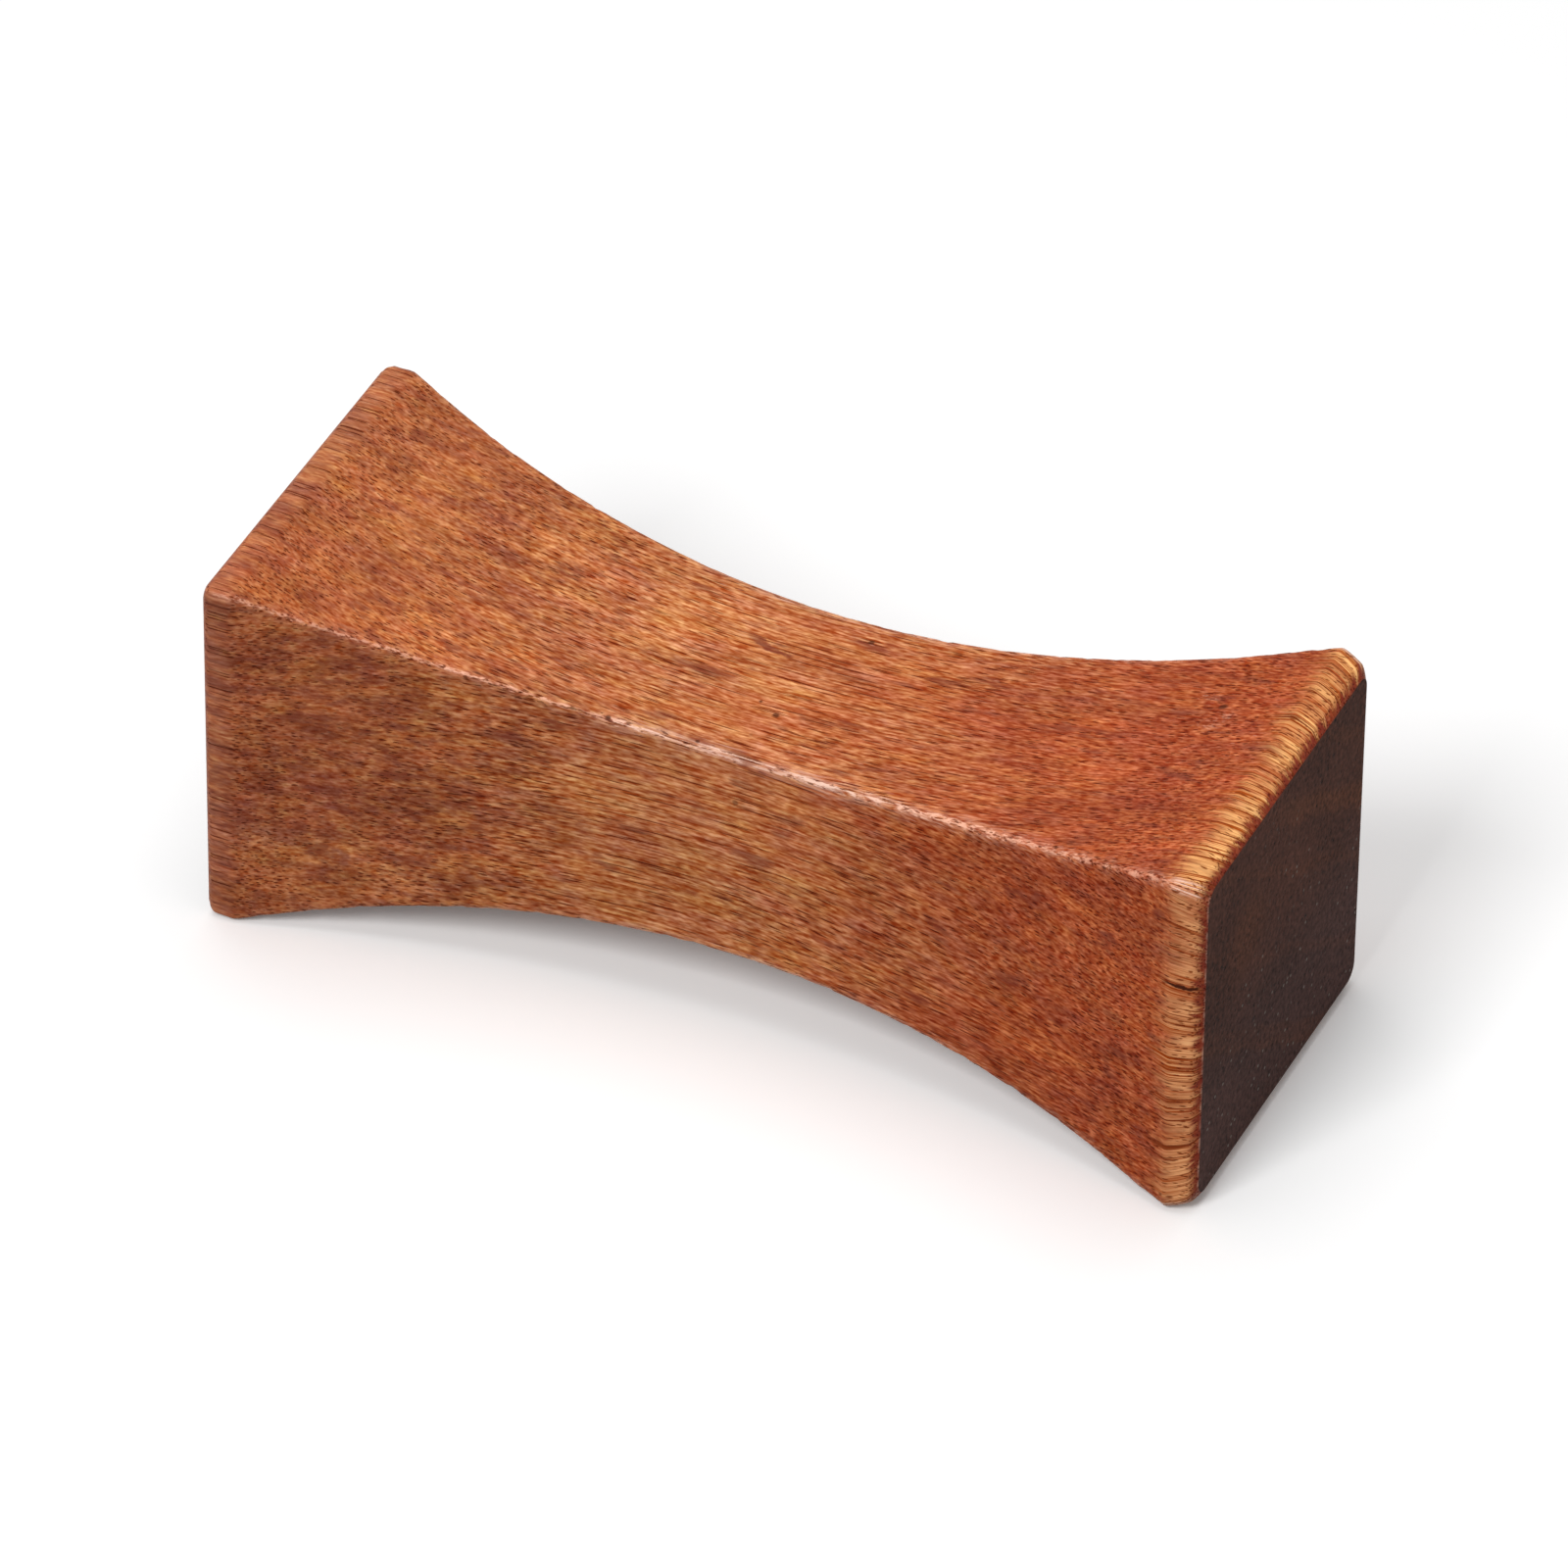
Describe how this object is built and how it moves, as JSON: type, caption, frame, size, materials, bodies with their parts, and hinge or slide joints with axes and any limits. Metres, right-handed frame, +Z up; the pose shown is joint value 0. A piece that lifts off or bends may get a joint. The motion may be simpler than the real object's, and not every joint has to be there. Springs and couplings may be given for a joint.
{
  "type": "chopstick rest",
  "caption": "Waisted hardwood block, square in section and hollowed along every long side, that keeps the tips of chopsticks off the table.",
  "frame": {"origin": "on the table, under the middle of the block", "axes": "+X along the block and its grain, +Y across it towards the back, +Z up"},
  "size_m": [0.05, 0.0192, 0.0193],
  "materials": {
    "oiled_hardwood": "satin oil over reddish brown open-pored hardwood, end grain much darker"
  },
  "bodies": {
    "root": {"rest_block": "oiled_hardwood"}
  },
  "joints": []
}
